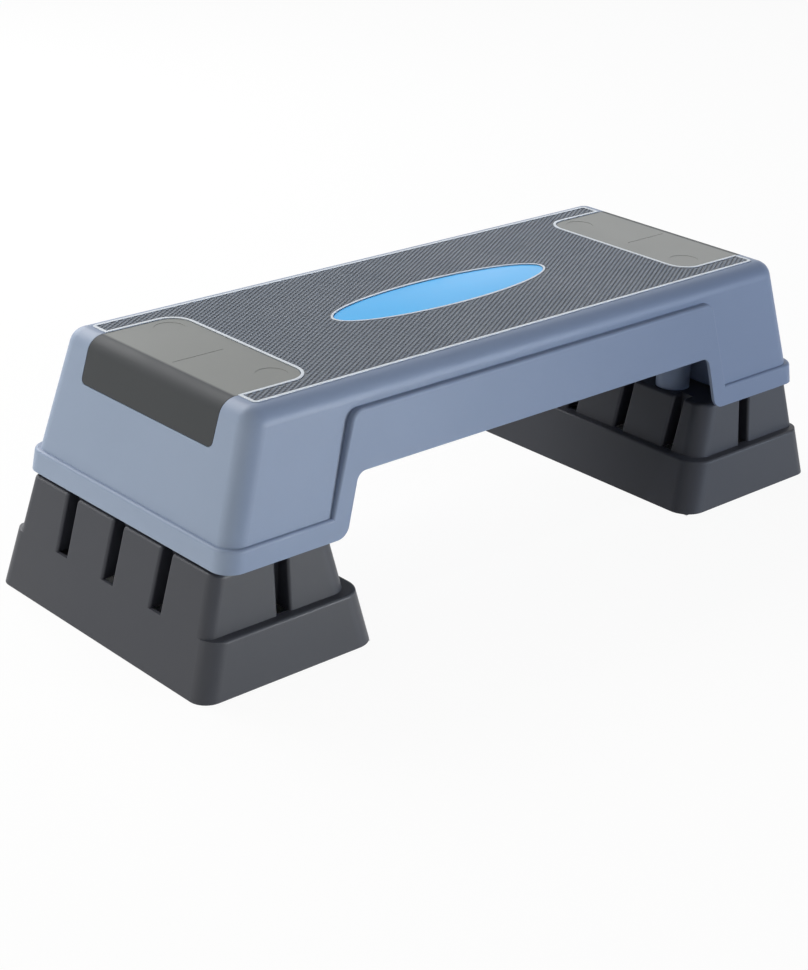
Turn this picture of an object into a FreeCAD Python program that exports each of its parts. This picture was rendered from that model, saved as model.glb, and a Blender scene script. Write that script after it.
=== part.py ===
import FreeCAD, Part
import math
import os

from FreeCAD import Vector

# Aerobic step platform: a hollow deck with a tread mat stands on two separate risers.
# Lengths are in millimetres. X runs along the deck, the front faces -Y and Z is up.
# The origin is on the floor, under the middle of the deck.

# Riser: a low foot with a ledge on three sides, and a narrower block above it
riser_length = 204.3
riser_width = 322.3
riser_height = 110.6
riser_end_inset = 72.1
riser_wall = 3.5
riser_end_lean_share = 0.2625
riser_side_lean_share = 0.097
riser_plain_corner_round = 18.0
riser_ledge_corner_round = 24.0
ledge_height = 55.0
ledge_end_depth = 9.9
ledge_side_depth = 9.6
ledge_edge_round = 3.0
block_plain_corner_round = 12.0
block_ledge_corner_round = 20.0
block_top_round = 5.0

# Upright slots round the riser's block
plain_slot_width = 15.0
plain_slot_spacing = 72.5
ledge_slot_width = 12.0
ledge_slot_spacing = 69.4
side_slot_width = 14.0
slot_depth = 12.0
slot_edge_round = 3.0

# Openings in the riser's top: a well, and a shallow cup under each deck post
well_length = 66.0
well_width = 196.0
well_corner_round = 12.0
well_offset = 21.0
cup_depth = 3.0
cup_clearance = 0.6

# Rubber feet, each a round head with a stem in a boss
riser_foot_radius = 12.0
riser_foot_head = 2.5
riser_foot_inset = 22.0
deck_foot_radius = 10.0
deck_foot_head = 5.0
deck_foot_end_inset = 24.0
deck_foot_side_inset = 36.0
foot_proud = 0.6
foot_edge_round = 0.8
stem_radius = 6.0
stem_length = 10.0
stem_clearance = 0.15
stem_end_room = 2.0
boss_wall = 3.0

# Deck shell
rim_length = 780.0
rim_width = 309.0
rim_height = 21.3
rim_gap = 2.8
rim_end_step = 4.7
rim_side_step = 3.9
rim_end_lean_share = 0.14
rim_side_lean_share = 0.06
rim_corner_round = 20.0
rim_edge_round = 3.0
deck_height = 137.6
deck_wall = 4.5
deck_end_lean_share = 0.285
deck_side_lean_share = 0.096
deck_corner_round = 19.0
deck_top_round = 17.5

# Raised band round the arch on both long sides, and the arch itself
band_foot_length = 550.0
band_head_length = 484.0
band_height = 116.0
band_lean_share = 0.061
band_corner_round = 14.0
band_edge_round = 3.0
band_wall = 3.5
arch_foot_length = 506.6
arch_head_length = 476.6
arch_height = 58.3
arch_head_round = 11.0
arch_foot_round = 14.0

# Ribs and posts under the deck
rib_thickness = 3.0
rib_depth = 30.0
long_rib_spacing = 75.0
cross_rib_spacing = 92.0
cross_rib_count = 5
leg_rib_end_inset = 88.3
leg_rib_side = 229.4
post_radius = 18.0
post_wall = 3.0
post_end_inset = 113.0
post_width_spacing = 150.0

# Tread: mat, end pads and oval badge, each in a recess behind a raised lip
lip_width = 3.0
lip_height = 0.8
mat_length = 659.0
mat_width = 237.0
mat_corner_round = 2.0
mat_recess = 1.3
mat_top_gap = 0.1
pad_width = 195.0
pad_inner_spacing = 503.2
pad_inner_round = 21.0
pad_low_height = 94.9
pad_low_round = 5.5
pad_thickness = 2.2
pad_clearance = 0.6
pad_mark_radius = 15.0
pad_mark_depth = 0.25
pad_line_width = 0.8
badge_length = 276.0
badge_width = 67.0
badge_lip_width = 2.4
badge_recess = 2.0
badge_edge_drop = 1.0
badge_clearance = 0.7

# How far cutting shapes run past what they cut
overrun = 20.0

# Levels above the floor
seat_level = riser_height
rim_level = seat_level + rim_gap
top_level = rim_level + deck_height
face_level = top_level - lip_height
rim_top_level = rim_level + rim_height


# Plain shapes
def tapered_box(plan, low, high):
    """Solid with flat leaning sides; plan(level) gives its west, east and half width."""
    rings = []
    for level in (low, high):
        west, east, half = plan(level)
        corners = ((west, -half), (east, -half), (east, half), (west, half))
        rings.append([Vector(x, y, level) for x, y in corners])
    below, above = rings
    turns = range(len(below))
    feet = [Part.makeLine(below[here], below[here - 1]) for here in turns]
    heads = [Part.makeLine(above[here], above[here - 1]) for here in turns]
    uprights = [Part.makeLine(below[here], above[here]) for here in turns]
    sides = [[feet[here], uprights[here - 1], heads[here], uprights[here]] for here in turns]
    return Part.Solid(Part.Shell([Part.Face(Part.Wire(edges)) for edges in [feet, heads] + sides]))


def rise(edge):
    """How far an edge climbs."""
    levels = [vertex.Z for vertex in edge.Vertexes]
    return max(levels) - min(levels)


def upright_edges(solid, side=0):
    """Climbing edges of a box, all of them or only those west (-1) or east (1) of its middle."""
    middle = solid.BoundBox.Center.x
    climbing = [edge for edge in solid.Edges if rise(edge) > solid.BoundBox.ZLength / 2]
    return [edge for edge in climbing if (edge.CenterOfMass.x - middle) * side >= 0]


def level_edges(solid, level):
    """Edges that lie wholly at one level."""
    tolerance = solid.BoundBox.ZLength * 1e-6
    return [edge for edge in solid.Edges
            if all(abs(vertex.Z - level) < tolerance for vertex in edge.Vertexes)
            and rise(edge) < tolerance]


def round_corner(before, corner, after, radius):
    """Two tangent points of an arc in a corner, and the point halfway round it."""
    back = (before - corner).normalize()
    ahead = (after - corner).normalize()
    half_angle = back.getAngle(ahead) / 2
    reach = radius / math.tan(half_angle)
    inward = (back + ahead).normalize()
    middle = corner + inward * (radius / math.sin(half_angle) - radius)
    return corner + back * reach, middle, corner + ahead * reach


def rounded_wire(corners):
    """Closed wire through (point, radius) corners, with an arc where the radius is not zero."""
    points = [point for point, radius in corners]
    arcs = []
    for here, (point, radius) in enumerate(corners):
        if radius:
            before = points[here - 1]
            after = points[(here + 1) % len(points)]
            arcs.append(round_corner(before, point, after, radius))
        else:
            arcs.append((point, None, point))
    edges = []
    for here, (start, middle, end) in enumerate(arcs):
        if middle:
            edges.append(Part.Arc(start, middle, end).toShape())
        following = arcs[(here + 1) % len(arcs)][0]
        edges.append(Part.makeLine(end, following))
    return Part.Wire(edges)


def side_prism(outline, depth):
    """Solid whose (x, z, radius) outline is seen from the front, from -depth to +depth in Y."""
    wire = rounded_wire([(Vector(x, -depth, z), radius) for x, z, radius in outline])
    return Part.Face(wire).extrude(Vector(0, depth + depth, 0))


def plan_prism(outline, low, high):
    """Solid whose (x, y, radius) outline is seen from above, between two levels."""
    wire = rounded_wire([(Vector(x, y, low), radius) for x, y, radius in outline])
    return Part.Face(wire).extrude(Vector(0, 0, high - low))


def rectangle(west, east, half, west_round, east_round):
    """Corners of a rectangle seen from above."""
    return [(west, -half, west_round), (east, -half, east_round),
            (east, half, east_round), (west, half, west_round)]


def block(west, east, south, north, low, high):
    """Upright box between its six sides."""
    size = (east - west, north - south, high - low)
    return Part.makeBox(*size, Vector(west, south, low))


def disc(radius, x, y, low, high):
    """Upright cylinder."""
    return Part.makeCylinder(radius, high - low, Vector(x, y, low))


def leaned(thickness, lean_share):
    """Level distance across a leaning wall."""
    return thickness * math.hypot(1, lean_share)


def turned(shape):
    """Copy turned half round about the upright axis."""
    copy = shape.copy()
    copy.rotate(Vector(0, 0, 0), Vector(0, 0, 1), 180)
    return copy


def moved(shape, x):
    """Copy moved along the deck."""
    copy = shape.copy()
    copy.translate(Vector(x, 0, 0))
    return copy


def both(value):
    """The value on both sides of the middle."""
    return (-value, value)


def signed_pairs(x, y):
    """Four points, one in each quarter."""
    return [(east, north) for east in both(x) for north in both(y)]


# Riser, about its own middle, with the plain end to the west
def riser_plan(inset, ledge_end, ledge_side):
    """Plan of the riser at any level, drawn in by a wall and by the ledges."""
    end_inset = leaned(inset, riser_end_lean_share)
    side_inset = leaned(inset, riser_side_lean_share)

    def plan(level):
        reach = riser_length / 2 - riser_end_lean_share * level - end_inset
        half = riser_width / 2 - riser_side_lean_share * level - side_inset
        return -reach, reach - ledge_end, half - ledge_side

    return plan


def riser_foot_form(inset, low):
    """The low foot: rounded ledge edges on three sides, cut square by the plain end."""
    plan = riser_plan(inset, 0, 0)
    high = ledge_height - inset

    def long_plan(level):
        west, east, half = plan(level)
        return west - overrun, east, half

    long_foot = tapered_box(long_plan, low, high)
    long_foot = long_foot.makeFillet(riser_ledge_corner_round - inset, upright_edges(long_foot, 1))
    if not inset:
        middle = long_foot.BoundBox.Center.x
        crest = [edge for edge in level_edges(long_foot, high)
                 if max(vertex.X for vertex in edge.Vertexes) > middle]
        long_foot = long_foot.makeFillet(ledge_edge_round, crest)

    def end_plan(level):
        west, east, half = plan(level)
        return west, east + overrun, half

    end = tapered_box(end_plan, low, high)
    end = end.makeFillet(riser_plain_corner_round - inset, upright_edges(end, -1))
    return long_foot.common(end)


def riser_block_form(inset, low):
    """The narrower block above the ledge."""
    form = tapered_box(riser_plan(inset, ledge_end_depth, ledge_side_depth), low, riser_height - inset)
    form = form.makeFillet(block_plain_corner_round - inset, upright_edges(form, -1))
    form = form.makeFillet(block_ledge_corner_round - inset, upright_edges(form, 1))
    if not inset:
        form = form.makeFillet(block_top_round, level_edges(form, riser_height))
    return form


def riser_slots(grow):
    """Upright slots open at the faces, the top and into the hollow, or the walls round them when grown."""
    west, east, half = riser_plan(0, ledge_end_depth, ledge_side_depth)(riser_height)
    low = ledge_height
    high = riser_height + overrun
    deep = slot_depth + grow
    reach = riser_length
    slots = []
    for y in (-plain_slot_spacing, 0, plain_slot_spacing):
        wide = plain_slot_width / 2 + grow
        slots.append(block(-reach, west + deep, y - wide, y + wide, low, high))
    for step in (-1, 0, 1, 2):
        y = (step - 1 / 2) * ledge_slot_spacing
        wide = ledge_slot_width / 2 + grow
        slots.append(block(east - deep, reach, y - wide, y + wide, low, high))
    wide = side_slot_width / 2 + grow
    slots.append(block(-wide, wide, half - deep, riser_width, low, high))
    slots.append(block(-wide, wide, -riser_width, deep - half, low, high))
    return slots


post_x = rim_length / 2 - post_end_inset
post_y = post_width_spacing / 2
riser_x = rim_length / 2 - riser_end_inset
cup_x = riser_x - post_x
cup_radius = post_radius + cup_clearance
riser_feet = signed_pairs(riser_length / 2 - riser_foot_inset, riser_width / 2 - riser_foot_inset)
stem_hole_radius = stem_radius + stem_clearance
stem_hole_depth = stem_length + stem_end_room


def foot_bosses(points, low, high):
    """Solid columns that hold the stems of rubber feet."""
    return [disc(stem_hole_radius + boss_wall, x, y, low, high) for x, y in points]


def stem_holes(points, level):
    """Blind holes for the stems, up from the level of the boss ends."""
    return [disc(stem_hole_radius, x, y, level - overrun, level + stem_hole_depth) for x, y in points]


def under_bosses(points, level, head):
    """Room under the bosses for the heads of the feet."""
    return [disc(head + stem_clearance, x, y, level - overrun, level) for x, y in points]


def make_riser():
    """Hollow riser, open below, with slots, cups and a well in its top."""
    outer = riser_foot_form(0, foot_proud).fuse(riser_block_form(0, ledge_height)).removeSplitter()
    outer = outer.cut(riser_slots(0))
    outer = outer.makeFillet(slot_edge_round, slot_mouths(outer))

    hollow = riser_foot_form(riser_wall, 0).fuse(riser_block_form(riser_wall, ledge_height / 2))
    kept = riser_slots(riser_wall)
    kept += foot_bosses(riser_feet, 0, riser_height)
    cup_floor = riser_height - cup_depth
    for y in both(post_y):
        kept.append(disc(cup_radius + riser_wall, cup_x, y, cup_floor - riser_wall, riser_height))
    shell = outer.cut(hollow.cut(kept))

    cuts = [disc(cup_radius, cup_x, y, cup_floor, riser_height + overrun) for y in both(post_y)]
    well_west = -well_offset - well_length / 2
    well = rectangle(well_west, well_west + well_length, well_width / 2, well_corner_round, well_corner_round)
    cuts.append(plan_prism(well, ledge_height, riser_height + overrun))
    cuts += stem_holes(riser_feet, riser_foot_head)
    cuts += under_bosses(riser_feet, riser_foot_head, riser_foot_radius)
    return shell.cut(cuts)


def slot_mouths(solid):
    """Upright edges where the slots open on the block's three faces."""
    plan = riser_plan(0, ledge_end_depth, ledge_side_depth)
    tolerance = slot_edge_round * 1e-3
    found = []
    for edge in solid.Edges:
        if rise(edge) < riser_height / 3 or edge.Curve.TypeId != "Part::GeomLine":
            continue
        middle = edge.CenterOfMass
        west, east, half = plan(middle.z)
        gaps = (abs(middle.x - west), abs(middle.x - east), abs(abs(middle.y) - half))
        if min(gaps) < tolerance:
            found.append(edge)
    return found


def make_foot(x, y, low, radius, head):
    """Rubber foot: a round head with a softened lower edge, and a stem."""
    cap = disc(radius, x, y, low, low + head)
    cap = cap.makeFillet(foot_edge_round, level_edges(cap, low))
    stem = disc(stem_radius, x, y, low + head / 2, low + head + stem_length)
    return cap.fuse(stem).removeSplitter()


# Deck
def deck_plan(inset):
    """Plan of the deck's leaning body at any level."""
    end_inset = leaned(inset, deck_end_lean_share)
    side_inset = leaned(inset, deck_side_lean_share)
    end = rim_length / 2 - rim_end_lean_share * rim_height - rim_end_step
    side = rim_width / 2 - rim_side_lean_share * rim_height - rim_side_step

    def plan(level):
        climb = level - rim_top_level
        reach = end - deck_end_lean_share * climb - end_inset
        return -reach, reach, side - deck_side_lean_share * climb - side_inset

    return plan


def deck_body(inset):
    """Leaning body, run on below the rim, with rounded corners and a rounded top edge."""
    high = face_level - inset
    body = tapered_box(deck_plan(inset), rim_level - overrun, high)
    body = body.makeFillet(deck_corner_round - inset, upright_edges(body))
    return body.makeFillet(deck_top_round - inset, level_edges(body, high))


def rim_body():
    """Proud rim round the foot of the deck."""
    def plan(level):
        climb = level - rim_level
        reach = rim_length / 2 - rim_end_lean_share * climb
        return -reach, reach, rim_width / 2 - rim_side_lean_share * climb

    body = tapered_box(plan, rim_level - overrun, rim_top_level)
    body = body.makeFillet(rim_corner_round, upright_edges(body))
    return body.makeFillet(rim_edge_round, level_edges(body, rim_top_level))


def band_body(inset):
    """Proud band over the arch on both long sides, or the room inside it when drawn in by a wall."""
    low = rim_level - overrun
    high = rim_level + band_height - inset
    slope_share = (band_foot_length - band_head_length) / 2 / band_height
    side_inset = leaned(inset, band_lean_share)
    end_inset = leaned(inset, slope_share)

    def plan(level):
        half = rim_width / 2 - band_lean_share * (level - rim_level) - side_inset
        return -rim_length / 2, rim_length / 2, half

    def reach(level):
        return band_foot_length / 2 - slope_share * (level - rim_level) - end_inset

    corner = band_corner_round - inset
    outline = [(-reach(low), low, 0), (reach(low), low, 0),
               (reach(high), high, corner), (-reach(high), high, corner)]
    band = tapered_box(plan, low, high + overrun).common(side_prism(outline, rim_width))
    if inset:
        return band
    edges = [edge for edge in band.Edges if on_band_face(edge, plan) and edge.CenterOfMass.z > rim_level]
    return band.makeFillet(band_edge_round, edges)


def on_band_face(edge, plan):
    """True for an edge that lies in one of the band's two outer faces."""
    tolerance = band_edge_round * 1e-3
    points = [vertex.Point for vertex in edge.Vertexes]
    return all(abs(abs(point.y) - plan(point.z)[2]) < tolerance for point in points)


def arch_cutter():
    """Everything below the rim and inside the arch."""
    foot = arch_foot_length / 2
    head = arch_head_length / 2
    high = rim_level + arch_height
    low = rim_level - overrun - overrun
    outline = [(-rim_length, low, 0), (-rim_length, rim_level, 0), (-foot, rim_level, arch_foot_round),
               (-head, high, arch_head_round), (head, high, arch_head_round),
               (foot, rim_level, arch_foot_round), (rim_length, rim_level, 0), (rim_length, low, 0)]
    return side_prism(outline, rim_width)


def pad_region(side, grow):
    """Space of one end pad: a tongue seen from above, and a rounded apron seen from the end."""
    half = pad_width / 2 + grow
    low = rim_level + pad_low_height - grow
    tongue = tongues(grow, rim_level, top_level)[0]
    sill = pad_low_round + grow
    corners = [(half, top_level, 0), (-half, top_level, 0), (-half, low, sill), (half, low, sill)]
    wire = rounded_wire([(Vector(0, y, z), radius) for y, z, radius in corners])
    apron = Part.Face(wire).extrude(Vector(rim_length, 0, 0))
    region = tongue.common(apron)
    if side < 0:
        region = turned(region)
    return region


def pad_skin(side, grow):
    """The outer layer of the deck's body over one pad's space."""
    layer = deck_body(0).common(pad_region(side, grow))
    return layer.cut(deck_body(pad_thickness))


def make_pad(side):
    """End pad that wraps over the deck's end, with two round marks and a middle line."""
    pad = pad_skin(side, 0)
    low = face_level - pad_mark_depth
    marks = [disc(pad_mark_radius, side * post_x, y, low, top_level) for y in both(post_y)]
    near = pad_inner_spacing / 2 + pad_inner_round
    far = mat_length / 2
    west, east = sorted((side * near, side * far))
    marks.append(block(west, east, -pad_line_width / 2, pad_line_width / 2, low, top_level))
    return pad.cut(marks)


def oval(grow, low, high):
    """Upright elliptic disc in the middle of the tread."""
    half_length = badge_length / 2 + grow
    half_width = badge_width / 2 + grow
    ring = Part.Ellipse(Vector(0, 0, low), half_length, half_width).toShape()
    return Part.Face(Part.Wire(ring)).extrude(Vector(0, 0, high - low))


def crown_radius(half):
    """Radius of the arc that falls by the badge's edge drop over half a width."""
    return (half * half / badge_edge_drop + badge_edge_drop) / 2


def make_badge():
    """Oval plate, crowned both ways, so that its edge lies evenly below the lip."""
    along = crown_radius(badge_length / 2)
    across = crown_radius(badge_width / 2)
    centre = Vector(0, 0, top_level - along)
    crown = Part.makeTorus(along - across, across, centre, Vector(0, 1, 0))
    return oval(0, face_level - badge_recess, top_level).common(crown)


def tread_outline(grow):
    """Rectangle of the mat, drawn out by a lip or clearance."""
    half_length = mat_length / 2 + grow
    corner = mat_corner_round + grow
    return rectangle(-half_length, half_length, mat_width / 2 + grow, corner, corner)


def tongues(grow, low, high):
    """Both pads' spaces seen from above, drawn out, between two levels."""
    inner = pad_inner_spacing / 2 - grow
    half = pad_width / 2 + grow
    tongue = plan_prism(rectangle(inner, rim_length, half, pad_inner_round + grow, 0), low, high)
    return [tongue, turned(tongue)]


def tread_area(low, high):
    """Mat's space between two levels: the rectangle without the pads, the badge and their lips."""
    area = plan_prism(tread_outline(0), low, high)
    tools = tongues(pad_clearance + lip_width, low, high)
    tools.append(oval(badge_clearance + badge_lip_width, low, high))
    return area.cut(tools)


def make_mat():
    """Tread mat, whole thickness up to the tops of its studs."""
    return tread_area(face_level - mat_recess, top_level - mat_top_gap)


def make_lips():
    """Raised lips round the mat, the pads' inner ends and the badge."""
    low = face_level - mat_recess
    room = tongues(pad_clearance, low, top_level)
    room.append(oval(badge_clearance, low, top_level))
    room.append(tread_area(low, top_level))
    return plan_prism(tread_outline(lip_width), low, top_level).cut(room)


def deck_ribs():
    """Ribs under the top, and deeper ones beside the posts and in the legs' ends."""
    half = rib_thickness / 2
    shallow = face_level - deck_wall - rib_depth
    leg_rib_x = rim_length / 2 - leg_rib_end_inset
    ribs = []
    for y in (-long_rib_spacing, 0, long_rib_spacing):
        ribs.append(block(-rim_length, rim_length, y - half, y + half, shallow, top_level))
    for step in range(cross_rib_count):
        x = (step - (cross_rib_count - 1) / 2) * cross_rib_spacing
        ribs.append(block(x - half, x + half, -rim_width, rim_width, shallow, top_level))
    for x in both(leg_rib_x):
        ribs.append(block(x - half, x + half, -rim_width, rim_width, rim_level, top_level))
    for y in both(leg_rib_side / 2):
        ribs.append(block(leg_rib_x, rim_length, y - half, y + half, rim_level, top_level))
        ribs.append(block(-rim_length, -leg_rib_x, y - half, y + half, rim_level, top_level))
    return ribs


deck_feet = signed_pairs(rim_length / 2 - deck_foot_end_inset, rim_width / 2 - deck_foot_side_inset)
deck_boss_level = seat_level + deck_foot_head


def make_deck():
    """Hollow deck: body, rim and band, with ribs, posts and bosses inside."""
    outer = deck_body(0).fuse([rim_body(), band_body(0)])
    hollow = deck_body(deck_wall).fuse(band_body(band_wall))
    kept = deck_ribs()
    kept += foot_bosses(deck_feet, rim_level - overrun, top_level)
    hollow = hollow.cut(kept)
    shell = outer.cut(hollow).cut(arch_cutter())

    under_top = face_level - deck_wall
    posts = []
    bores = []
    for x, y in signed_pairs(post_x, post_y):
        posts.append(disc(post_radius, x, y, seat_level - cup_depth, under_top + deck_wall / 3))
        bores.append(disc(post_radius - post_wall, x, y, seat_level - cup_depth - overrun, under_top))
    shell = shell.fuse(posts).cut(bores)

    shell = shell.fuse(make_lips())
    cuts = [tread_area(face_level - mat_recess, top_level + overrun)]
    cuts.append(oval(badge_clearance, face_level - badge_recess, top_level + overrun))
    cuts += [pad_skin(side, pad_clearance) for side in (-1, 1)]
    cuts += stem_holes(deck_feet, deck_boss_level)
    cuts += under_bosses(deck_feet, deck_boss_level, deck_foot_radius)
    return shell.cut(cuts)


# Write every piece to its own file
def save(name, shape):
    """Write one solid and say what it is."""
    solids = shape.Solids
    print(name, "valid", shape.isValid(), "solids", len(solids), "volume", round(shape.Volume))
    (solids[0] if len(solids) == 1 else shape).exportStep("parts/" + name + ".step")


os.makedirs("parts", exist_ok=True)
riser = make_riser()
riser_sides = {"left": (-riser_x, riser), "right": (riser_x, turned(riser))}
for side_name, (x, shape) in riser_sides.items():
    save(side_name + "_riser", moved(shape, x))
    for number, (foot_x, foot_y) in enumerate(riser_feet, 1):
        foot = make_foot(x + foot_x, foot_y, 0, riser_foot_radius, riser_foot_head)
        save(side_name + "_riser_foot_" + str(number), foot)

save("deck_shell", make_deck())
for number, (foot_x, foot_y) in enumerate(deck_feet, 1):
    save("deck_foot_" + str(number), make_foot(foot_x, foot_y, seat_level, deck_foot_radius, deck_foot_head))
save("tread_mat", make_mat())
save("left_end_pad", make_pad(-1))
save("right_end_pad", make_pad(1))
save("oval_badge", make_badge())
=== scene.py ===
# %% [markdown]
# # Aerobic step platform
# The solids come from CAD and stay where they are. This lesson dresses them: it sets up the
# camera, the floor and the light, then gives every piece its finish and adds the studs of the
# tread mat.

# %% Load the solids
import math

import bmesh
import bpy
import numpy as np
from mathutils import Matrix, Vector


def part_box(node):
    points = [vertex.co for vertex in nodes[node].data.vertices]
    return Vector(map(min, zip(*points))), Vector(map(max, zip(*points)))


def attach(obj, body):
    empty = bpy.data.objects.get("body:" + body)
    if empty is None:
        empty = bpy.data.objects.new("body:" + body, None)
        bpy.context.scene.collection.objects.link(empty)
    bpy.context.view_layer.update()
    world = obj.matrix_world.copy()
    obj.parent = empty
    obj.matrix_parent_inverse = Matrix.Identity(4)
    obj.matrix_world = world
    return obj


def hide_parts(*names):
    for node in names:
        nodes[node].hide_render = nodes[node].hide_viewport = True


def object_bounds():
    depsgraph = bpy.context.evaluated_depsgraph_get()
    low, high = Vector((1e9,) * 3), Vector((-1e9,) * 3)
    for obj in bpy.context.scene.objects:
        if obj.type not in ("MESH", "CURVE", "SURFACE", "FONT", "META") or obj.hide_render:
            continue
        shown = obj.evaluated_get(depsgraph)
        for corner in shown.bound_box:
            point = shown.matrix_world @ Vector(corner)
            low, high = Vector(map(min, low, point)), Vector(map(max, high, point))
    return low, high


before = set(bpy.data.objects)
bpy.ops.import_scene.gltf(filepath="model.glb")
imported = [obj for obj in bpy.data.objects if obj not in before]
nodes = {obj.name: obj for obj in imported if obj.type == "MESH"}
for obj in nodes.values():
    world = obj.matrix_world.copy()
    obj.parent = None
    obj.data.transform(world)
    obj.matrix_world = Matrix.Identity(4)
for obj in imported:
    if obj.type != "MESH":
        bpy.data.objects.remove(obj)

scene = bpy.context.scene
cad_low, cad_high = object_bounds()
millimetre = 0.001
print("pieces", len(nodes), "size", [round(v, 4) for v in cad_high - cad_low])

# %% [markdown]
# ## Camera
# A camera is three angles, a distance and a lens. The angles say how far it stands round the step,
# how high above the floor and how much it leans. The lens is written in pixels of the picture,
# because that is how a camera is fitted to straight edges, and is turned into millimetres on a
# 36 mm sensor.

# %% Camera
picture_height = 970
camera_azimuth = math.radians(-43.178)
camera_elevation = math.radians(23.866)
camera_lean = math.radians(2.187)
camera_distance = 2.1724
camera_right_offset = -0.02887
camera_up_offset = 0.03765
lens_in_pixels = 2097.82
sensor = 36.0


def camera_axes(azimuth, elevation, lean):
    """Right, up and backward directions: spherical angles, then a turn about the backward one."""
    back = np.array((math.sin(azimuth) * math.cos(elevation),
                     -math.cos(azimuth) * math.cos(elevation),
                     math.sin(elevation)))
    level = np.array((math.cos(azimuth), math.sin(azimuth), 0.0))
    rise = np.cross(back, level)
    right = level * math.cos(lean) + rise * math.sin(lean)
    up = rise * math.cos(lean) - level * math.sin(lean)
    return right, up, back


right, up, back = camera_axes(camera_azimuth, camera_elevation, camera_lean)
place = right * camera_right_offset + up * camera_up_offset + back * camera_distance
camera = bpy.data.objects.new("camera", bpy.data.cameras.new("camera"))
scene.collection.objects.link(camera)
rows = [[right[i], up[i], back[i], place[i]] for i in range(3)]
camera.matrix_world = Matrix(rows + [[0, 0, 0, 1]])
camera.data.sensor_width = sensor
camera.data.lens = lens_in_pixels * sensor / picture_height
scene.camera = camera
print("camera at", place.round(3), "lens", round(camera.data.lens, 1))

# %% [markdown]
# ## Node trees
# Finishes, floor and sky are all trees of shader nodes. A few helpers keep them short: they add a
# node with its values, do sums on values or sockets, read where a point lies, and turn a value
# into a mask.

# %% Helpers for node trees
def blank_tree(holder):
    """Empty node tree of a material or a world."""
    holder.use_nodes = True
    holder.node_tree.nodes.clear()
    return holder.node_tree


def add_node(tree, kind, **values):
    """New node with its named input values set."""
    node = tree.nodes.new(kind)
    for name, value in values.items():
        node.inputs[name.replace("_", " ")].default_value = value
    return node


def arithmetic(tree, operation, first, second):
    """Result of a sum on two values, each a number or a socket."""
    node = tree.nodes.new("ShaderNodeMath")
    node.operation = operation
    for socket, value in zip(node.inputs, (first, second)):
        if isinstance(value, (int, float)):
            socket.default_value = value
        else:
            tree.links.new(value, socket)
    return node.outputs[0]


def position(tree):
    """Sockets X, Y and Z of a point on a piece, which lies in the frame that all pieces share."""
    spots = tree.nodes.new("ShaderNodeTexCoord")
    parts = tree.nodes.new("ShaderNodeSeparateXYZ")
    tree.links.new(spots.outputs["Object"], parts.inputs[0])
    return parts.outputs


def ramp(tree, value, start, end, low=0.0, high=1.0):
    """Value that goes evenly from low to high as the given one goes from start to end."""
    span = add_node(tree, "ShaderNodeMapRange",
                    From_Min=start, From_Max=end, To_Min=low, To_Max=high)
    tree.links.new(value, span.inputs["Value"])
    return span.outputs["Result"]


print("helpers for trees, sums, positions and ramps")

# %% Helpers for shaders
def looked_at(tree):
    """Mask that is one where a ray comes from the camera, a reflection or a clear material."""
    path = tree.nodes.new("ShaderNodeLightPath")
    mask = path.outputs["Is Camera Ray"]
    for name in ("Is Glossy Ray", "Is Transmission Ray"):
        mask = arithmetic(tree, "MAXIMUM", mask, path.outputs[name])
    return mask


def mixed_shader(tree, factor, first, second):
    """Shader that is the first where the factor is zero and the second where it is one."""
    mix = tree.nodes.new("ShaderNodeMixShader")
    for socket, source in zip(mix.inputs, (factor, first.outputs[0], second.outputs[0])):
        tree.links.new(source, socket)
    return mix


def show(tree, shader, output="ShaderNodeOutputMaterial"):
    """Connect a shader to the output of its tree."""
    tree.links.new(shader.outputs[0], tree.nodes.new(output).inputs["Surface"])


print("helpers for shaders")

# %% [markdown]
# ## Floor, background and light
# The step stands on a plain white sweep. The floor and the sky show white to the camera and to
# reflections, while the light they give stays moderate. Under the risers the floor has no glow of
# its own, so that their open slots look into the dark, as they do on the real step.

# %% Sky
sky_light = 0.07
white = (1, 1, 1, 1)
scene.world = bpy.data.worlds.new("studio")
tree = blank_tree(scene.world)
given = add_node(tree, "ShaderNodeBackground", Color=white, Strength=sky_light)
seen = add_node(tree, "ShaderNodeBackground", Color=white, Strength=1.0)
show(tree, mixed_shader(tree, looked_at(tree), given, seen), "ShaderNodeOutputWorld")
scene.view_settings.view_transform = "Standard"
print("sky gives", sky_light)

# %% Floor
floor_reach = 12.0
floor_glow_share = 0.94
paper_tone = (0.9, 0.9, 0.9, 1)
under_riser_margin = 6 * millimetre


def under_risers(tree):
    """Mask that is one inside the outlines of the risers, which lie alike on both sides."""
    riser_low, riser_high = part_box("right_riser")
    spot = position(tree)
    along = arithmetic(tree, "ABSOLUTE", spot["X"], 0)
    across = arithmetic(tree, "ABSOLUTE", spot["Y"], 0)
    past_inner = arithmetic(tree, "GREATER_THAN", along, riser_low.x + under_riser_margin)
    before_outer = arithmetic(tree, "LESS_THAN", along, riser_high.x - under_riser_margin)
    between_sides = arithmetic(tree, "LESS_THAN", across, riser_high.y - under_riser_margin)
    lengthwise = arithmetic(tree, "MULTIPLY", past_inner, before_outer)
    return arithmetic(tree, "MULTIPLY", lengthwise, between_sides)


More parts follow.
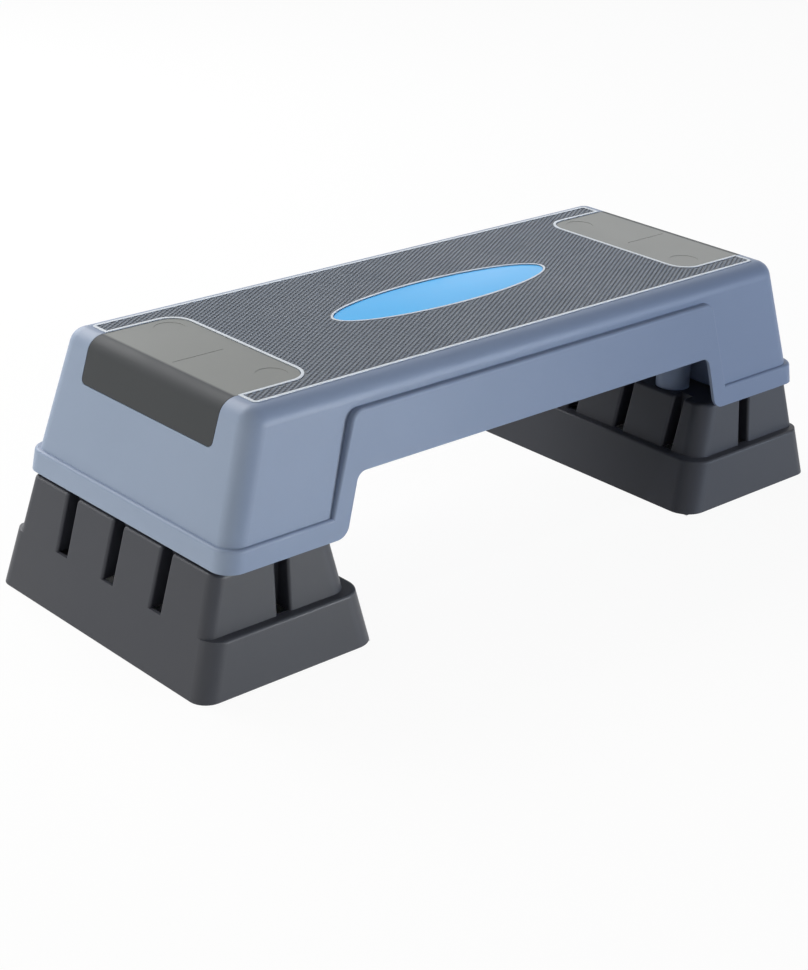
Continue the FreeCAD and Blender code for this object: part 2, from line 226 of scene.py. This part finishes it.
signs = ((-1, -1), (1, -1), (1, 1), (-1, 1))
mesh = bpy.data.meshes.new("floor")
mesh.from_pydata([(x * floor_reach, y * floor_reach, 0) for x, y in signs], [], [(0, 1, 2, 3)])
floor = bpy.data.objects.new("floor", mesh)
scene.collection.objects.link(floor)
paper = bpy.data.materials.new("white paper")
tree = blank_tree(paper)
matt = add_node(tree, "ShaderNodeBsdfDiffuse", Color=paper_tone)
glow = add_node(tree, "ShaderNodeEmission", Color=white, Strength=1.0)
share = arithmetic(tree, "MULTIPLY", looked_at(tree), floor_glow_share)
bare = arithmetic(tree, "SUBTRACT", 1.0, under_risers(tree))
show(tree, mixed_shader(tree, arithmetic(tree, "MULTIPLY", share, bare), matt, glow))
mesh.materials.append(paper)
print("floor", floor_reach * 2, "m wide")

# %% [markdown]
# Product light is a few large soft boxes: a warm one beside the left end, a cool one beside the
# long side and a neutral one behind and above for the top, so that rounded corners between two lit
# walls stay darker than the walls. Three small ones help out on the left leg, on the far end and as
# a spark on the near top corner. The box at the left end stays out of reflections, because the flat
# top would mirror it as a white glare when the step is seen from the right end.

# %% Soft boxes
warm = (1.0, 0.95, 0.80)
cool = (0.70, 0.82, 1.0)
neutral = (1.0, 1.0, 1.0)
wide, narrow = 180, 50
step_middle = (cad_low + cad_high) / 2
left_leg = (-0.42, -0.15, 0.05)


def soft_box(name, place, aim, size, watts, tint, spread):
    """Square area lamp at a place, turned so that it shines at the aim, in a beam of degrees."""
    lamp = bpy.data.lights.new(name, "AREA")
    lamp.shape = "SQUARE"
    lamp.size = size
    lamp.energy = watts
    lamp.color = tint
    lamp.spread = math.radians(spread)
    box = bpy.data.objects.new(name, lamp)
    box.location = place
    box.rotation_euler = (Vector(aim) - Vector(place)).to_track_quat("-Z", "Y").to_euler()
    scene.collection.objects.link(box)
    return box


left_box = soft_box("left_box", (-2.3, 0.55, 0.3), step_middle, 1.4, 47, warm, wide)
left_box.visible_glossy = False
soft_box("front_box", (2.6, -3.6, 0.4), step_middle, 1.6, 132, cool, wide)
soft_box("leg_box", (0.35, -1.25, 0.12), left_leg, 0.4, 0.75, warm, narrow)
soft_box("back_box", (-0.1, 2.1, 1.8), step_middle, 2.0, 72, neutral, wide)
soft_box("right_box", (2.3, 1.75, 1.05), step_middle, 1.0, 2.5, neutral, wide)
soft_box("spark_box", (-1.0, -0.75, 2.2), step_middle, 0.12, 5, neutral, wide)

# %% [markdown]
# ## Moulded grain
# The deck and the risers are moulded in steel tools with a fine spark-eroded skin. The grain is far
# too small to model, so a node group makes it from noise: a fine height for the bump, and a slow
# blotch that shifts colour and gloss a little, as thick and thin places of a moulding do. Several
# finishes share the group, each with its own sizes.

# %% Grain group
grain_detail = 3.0
blotch_detail = 4.0
noise_roughness = 0.55


def grain_group():
    """Fine noise for height and slow noise for tone, both on the coordinates that come in."""
    group = bpy.data.node_groups.new("moulded grain", "ShaderNodeTree")
    for name, kind in (("Coordinates", "NodeSocketVector"), ("Grain scale", "NodeSocketFloat"),
                       ("Blotch scale", "NodeSocketFloat")):
        group.interface.new_socket(name, in_out="INPUT", socket_type=kind)
    for name in ("Height", "Blotch"):
        group.interface.new_socket(name, in_out="OUTPUT", socket_type="NodeSocketFloat")
    inside = group.nodes.new("NodeGroupInput")
    outside = group.nodes.new("NodeGroupOutput")
    for scale, result, detail in (("Grain scale", "Height", grain_detail),
                                  ("Blotch scale", "Blotch", blotch_detail)):
        noise = add_node(group, "ShaderNodeTexNoise", Detail=detail, Roughness=noise_roughness)
        group.links.new(inside.outputs["Coordinates"], noise.inputs["Vector"])
        group.links.new(inside.outputs[scale], noise.inputs["Scale"])
        group.links.new(noise.outputs["Fac"], outside.inputs[result])
    return group


grain = grain_group()
print("group", grain.name, [s.name for s in grain.interface.items_tree])

# %% [markdown]
# ## A moulded finish
# Every finish here is one Principled shader. Its colour runs between two close tones by the blotch,
# its roughness between two values by the same blotch, and its normal comes from the grain. What is
# the same all over a surface, such as the strength of the gloss, is set on the shader itself.

# %% Finish builder
noise_low, noise_high = 0.3, 0.7
grain_strength = 0.4


def mixed_colour(tree, factor, first, second):
    """Colour that runs from the first to the second as the factor goes from zero to one."""
    mix = tree.nodes.new("ShaderNodeMix")
    mix.data_type = "RGBA"
    for socket, colour in ((mix.inputs["A"], first), (mix.inputs["B"], second)):
        if isinstance(colour, tuple):
            socket.default_value = (*colour, 1)
        else:
            tree.links.new(colour, socket)
    tree.links.new(factor, mix.inputs["Factor"])
    return mix.outputs["Result"]


def moulded_finish(name, dark, light, smooth, rough, gloss, grain_scale, grain_depth, blotch_scale):
    """Material with two tones, two roughnesses and a grain, with its tree, colour and shader."""
    material = bpy.data.materials.new(name)
    tree = blank_tree(material)
    shader = add_node(tree, "ShaderNodeBsdfPrincipled", Specular_IOR_Level=gloss)
    show(tree, shader)
    spots = tree.nodes.new("ShaderNodeTexCoord")
    skin = tree.nodes.new("ShaderNodeGroup")
    skin.node_tree = grain
    skin.inputs["Grain scale"].default_value = grain_scale
    skin.inputs["Blotch scale"].default_value = blotch_scale
    tree.links.new(spots.outputs["Object"], skin.inputs["Coordinates"])
    blotch = skin.outputs["Blotch"]
    colour = mixed_colour(tree, ramp(tree, blotch, noise_low, noise_high), dark, light)
    roughness = ramp(tree, blotch, noise_low, noise_high, smooth, rough)
    bump = add_node(tree, "ShaderNodeBump", Strength=grain_strength, Distance=grain_depth)
    tree.links.new(skin.outputs["Height"], bump.inputs["Height"])
    tree.links.new(colour, shader.inputs["Base Color"])
    tree.links.new(roughness, shader.inputs["Roughness"])
    tree.links.new(bump.outputs["Normal"], shader.inputs["Normal"])
    return material, tree, colour, shader


def dress(material, *names):
    """Put one finish on CAD pieces."""
    for name in names:
        nodes[name].data.materials.clear()
        nodes[name].data.materials.append(material)
    print(material.name, "on", len(names), "pieces")


print("finish builder with grain strength", grain_strength)

# %% [markdown]
# ## Deck plastic
# The deck is a satin blue-grey. Its narrow raised lips on top are painted paler than the rest, a
# painted sheen for the light that their up-facing tops catch.
# A mask by height gives it: only the lips reach the last fraction of a millimetre of the deck.

# %% Deck
# painted sheen: pale tone for the lips' tops, standing in for the light they catch
painted_lip_sheen_tone = (0.70, 0.75, 0.82)
lip_fade_start = 0.7 * millimetre
lip_fade_end = 0.3 * millimetre
deck_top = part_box("deck_shell")[1].z
deck_plastic, tree, colour, shader = moulded_finish(
    "deck plastic", dark=(0.205, 0.260, 0.376), light=(0.221, 0.276, 0.396),
    smooth=0.40, rough=0.48, gloss=0.3,
    grain_scale=1500, grain_depth=0.12 * millimetre, blotch_scale=5)
# painted sheen: the lips are painted paler where the mask by height reaches them
painted_lip_sheen_mask = ramp(tree, position(tree)["Z"], deck_top - lip_fade_start, deck_top - lip_fade_end)
tree.links.new(mixed_colour(tree, painted_lip_sheen_mask, colour, painted_lip_sheen_tone), shader.inputs["Base Color"])
dress(deck_plastic, "deck_shell")

# %% [markdown]
# ## Risers and feet
# The risers are charcoal in the same satin moulding, with a little more gloss, so that their long
# sides pick up the cool light. The feet are dull black rubber.

# %% Risers and feet
riser_plastic = moulded_finish(
    "riser plastic", dark=(0.031, 0.0335, 0.0430), light=(0.034, 0.0370, 0.0480),
    smooth=0.42, rough=0.54, gloss=0.38,
    grain_scale=1300, grain_depth=0.15 * millimetre, blotch_scale=6)[0]
foot_rubber = moulded_finish(
    "foot rubber", dark=(0.018, 0.018, 0.018), light=(0.026, 0.026, 0.026),
    smooth=0.65, rough=0.8, gloss=0.5,
    grain_scale=1100, grain_depth=0.2 * millimetre, blotch_scale=40)[0]
dress(riser_plastic, "left_riser", "right_riser")
dress(foot_rubber, *[name for name in nodes if "_foot_" in name])

# %% [markdown]
# ## End pads
# The pads are smooth dark rubber. Their flat tops are painted paler, a painted sheen for the
# grazing light they reflect, and have a thin gloss, while the bend and the part that hangs down
# stay dark and dull. The change comes where the bend starts, so that place is measured on the pad's
# own points, and a mask along the step's length follows it.

# %% End pads
# painted sheen: pale tone for the flat tops, standing in for reflected grazing light
painted_flat_sheen_tone = (0.190, 0.199, 0.193)
flat_coat = 0.35
flat_coat_roughness = 0.3
flat_tolerance = 0.02 * millimetre
bend_fade_before = 2.5 * millimetre
bend_fade_after = bend_fade_before / 3
pad_low, pad_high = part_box("right_end_pad")


def mesh_points(mesh):
    """All points of a mesh as rows of an array."""
    points = np.zeros(len(mesh.vertices) * 3, np.float32)
    mesh.vertices.foreach_get("co", points)
    return points.reshape(-1, 3)


pad_points = mesh_points(nodes["right_end_pad"].data)
bend_start = float(pad_points[pad_points[:, 2] > pad_high.z - flat_tolerance, 0].max())
pad_rubber, tree, colour, shader = moulded_finish(
    "pad rubber", dark=(0.041, 0.045, 0.051), light=(0.046, 0.050, 0.057),
    smooth=0.5, rough=0.6, gloss=0.15,
    grain_scale=900, grain_depth=0.04 * millimetre, blotch_scale=9)
shader.inputs["Coat Roughness"].default_value = flat_coat_roughness
from_middle = arithmetic(tree, "ABSOLUTE", position(tree)["X"], 0)
# mask for the flat tops: it sets the painted sheen colour and the real coat gloss
flat_sheen_and_coat_mask = ramp(tree, from_middle, bend_start + bend_fade_after, bend_start - bend_fade_before)
tree.links.new(mixed_colour(tree, flat_sheen_and_coat_mask, colour, painted_flat_sheen_tone), shader.inputs["Base Color"])
tree.links.new(arithmetic(tree, "MULTIPLY", flat_sheen_and_coat_mask, flat_coat), shader.inputs["Coat Weight"])
dress(pad_rubber, "left_end_pad", "right_end_pad")
print("bend starts at", round(bend_start, 4))

# %% [markdown]
# ## Oval badge
# A crowned plate of bright blue plastic with a smooth, slightly glossy face.

# %% Badge
badge_plastic = moulded_finish(
    "badge plastic", dark=(0.010, 0.45, 0.97), light=(0.012, 0.48, 1.0),
    smooth=0.28, rough=0.34, gloss=0.4,
    grain_scale=700, grain_depth=0.002 * millimetre, blotch_scale=12)[0]
dress(badge_plastic, "oval_badge")

# %% [markdown]
# ## Tread mat
# The mat is a thin rubber sheet covered with slanting studs, each like a grain of rice. They stand
# in rows at 30 degrees to the deck, and every other row is shifted by half a stud, so the eye reads
# broken diagonal ribs. A bump map would look flat at the edges, so the studs are real: one small
# template with ten faces, copied to every point of a lattice with whole-array sums. The sheet under
# them is a copy of the CAD mat with its top lowered to the foot of the studs.

# %% Sheet under the studs
stud_height = 0.7 * millimetre
merge_distance = 0.001 * millimetre
mat_low, mat_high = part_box("tread_mat")
sheet_top = mat_high.z - stud_height


def lowered_copy(source, name, level):
    """Copy of a flat solid with its points above a level brought down to it and seams merged."""
    mesh = source.data.copy()
    mesh.name = name
    points = mesh_points(mesh)
    points[:, 2] = np.minimum(points[:, 2], level)
    mesh.vertices.foreach_set("co", points.ravel())
    work = bmesh.new()
    work.from_mesh(mesh)
    bmesh.ops.remove_doubles(work, verts=work.verts, dist=merge_distance)
    work.to_mesh(mesh)
    work.free()
    piece = bpy.data.objects.new(name, mesh)
    scene.collection.objects.link(piece)
    return piece


sheet = lowered_copy(nodes["tread_mat"], "tread_sheet", sheet_top)
print("sheet", len(sheet.data.polygons), "faces, top at", round(sheet_top, 5))

# %% Where studs stand
row_spacing = 4.1 * millimetre
stud_spacing = 4.73 * millimetre
row_angle = math.radians(30)
stud_margin = 1.3 * millimetre
pad_round = 21 * millimetre
lip_out = 3.6 * millimetre
badge_lip_out = 3.1 * millimetre
badge_low, badge_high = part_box("oval_badge")


def lattice():
    """Staggered rows: row number times the row step, plus whole or half stud steps along it."""
    along = np.array((math.cos(row_angle), math.sin(row_angle)))
    across = np.array((-along[1], along[0]))
    reach = (mat_high - mat_low).length / 2
    last_row, last_step = math.ceil(reach / row_spacing), math.ceil(reach / stud_spacing)
    rows = np.arange(-last_row, last_row + 1)
    steps = np.arange(-last_step, last_step + 1)
    row, step = np.meshgrid(rows, steps, indexing="ij")
    shift = step + (row % 2) / 2
    points = row[..., None] * row_spacing * across + shift[..., None] * stud_spacing * along
    return points.reshape(-1, 2)


def on_mat(points, margin):
    """True inside the rectangle, but outside the pads' rounded tongues and the badge's oval."""
    x, y = np.abs(points[:, 0]), np.abs(points[:, 1])
    inside = (x < mat_high.x - margin) & (y < mat_high.y - margin)
    corner_round = pad_round + lip_out
    tongue_x = x - (pad_low.x - lip_out) + margin
    tongue_y = pad_high.y + lip_out - y + margin
    corner_x = np.maximum(corner_round - tongue_x, 0)
    corner_y = np.maximum(corner_round - tongue_y, 0)
    in_corner = corner_x ** 2 + corner_y ** 2 < corner_round ** 2
    in_tongue = (tongue_x > 0) & (tongue_y > 0) & in_corner
    half_length = badge_high.x + badge_lip_out + margin
    half_width = badge_high.y + badge_lip_out + margin
    in_badge = (x / half_length) ** 2 + (y / half_width) ** 2 < 1
    return inside & ~in_tongue & ~in_badge


spots = lattice()
spots = spots[on_mat(spots, stud_margin)]
print("studs", len(spots))

# %% Studs
stud_length = 4.4 * millimetre
stud_width = 3.4 * millimetre
blunt_share = 0.62
crest_length_share = 0.84
crest_width_share = 0.5


def stud_template():
    """Long hexagon at the foot and a narrower one at the crest, joined by six sides and closed."""
    length = np.array((1, blunt_share, -blunt_share, -1, -blunt_share, blunt_share))
    width = np.array((0, 1, 1, 0, -1, -1))
    length, width, level = length * stud_length / 2, width * stud_width / 2, np.ones(6)
    foot = np.stack((length, width, level * sheet_top), 1)
    crest = np.stack((length * crest_length_share, width * crest_width_share,
                      level * mat_high.z), 1)
    turn = np.array(((math.cos(row_angle), math.sin(row_angle), 0),
                     (-math.sin(row_angle), math.cos(row_angle), 0), (0, 0, 1)))
    corner = np.arange(6)
    after = (corner + 1) % 6
    sides = np.stack((corner, after, after + 6, corner + 6), 1)
    tops = np.array(((6, 7, 8, 9), (6, 9, 10, 11)))
    bottoms = np.array(((3, 2, 1, 0), (5, 4, 3, 0)))
    return np.concatenate((foot, crest)) @ turn, np.concatenate((sides, tops, bottoms))


def copied(points, faces, places):
    """Template points plus every place, and the faces counted on by one template each time."""
    steps = np.concatenate((places, np.zeros((len(places), 1))), 1)
    counts = np.arange(len(places)) * len(points)
    all_points = (points[None] + steps[:, None]).reshape(-1, 3)
    all_faces = (faces[None] + counts[:, None, None]).reshape(-1, 4)
    return all_points, all_faces


stud_points, stud_faces = copied(*stud_template(), spots)
mesh = bpy.data.meshes.new("tread_studs")
mesh.from_pydata(stud_points.tolist(), [], stud_faces.tolist())
studs = bpy.data.objects.new("tread_studs", mesh)
scene.collection.objects.link(studs)
print("stud triangles", len(stud_faces) * 2)

# %% [markdown]
# The crests of the studs are painted a little paler than the ground between them, as painted shade
# in the grooves, which shows the rows from afar. A mask by height tells the two apart.

# %% Mat finish
# painted shade: crests take this paler tone, so the grooves between studs read as shaded
painted_crest_light_tone = (0.188, 0.220, 0.272)
crest_fade_start = 0.3 * stud_height
crest_fade_end = 0.85 * stud_height
mat_rubber, tree, colour, shader = moulded_finish(
    "mat rubber", dark=(0.150, 0.165, 0.190), light=(0.160, 0.175, 0.200),
    smooth=0.45, rough=0.6, gloss=0.2,
    grain_scale=1200, grain_depth=0.1 * millimetre, blotch_scale=14)
# painted shade: mask by height that lightens the crests against the grooves
painted_crest_light_mask = ramp(tree, position(tree)["Z"], sheet_top + crest_fade_start, sheet_top + crest_fade_end)
tree.links.new(mixed_colour(tree, painted_crest_light_mask, colour, painted_crest_light_tone), shader.inputs["Base Color"])
for piece in (sheet, studs):
    piece.data.materials.clear()
    piece.data.materials.append(mat_rubber)
    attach(piece, "deck")
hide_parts("tread_mat")
print(mat_rubber.name, "on", sheet.name, "and", studs.name)
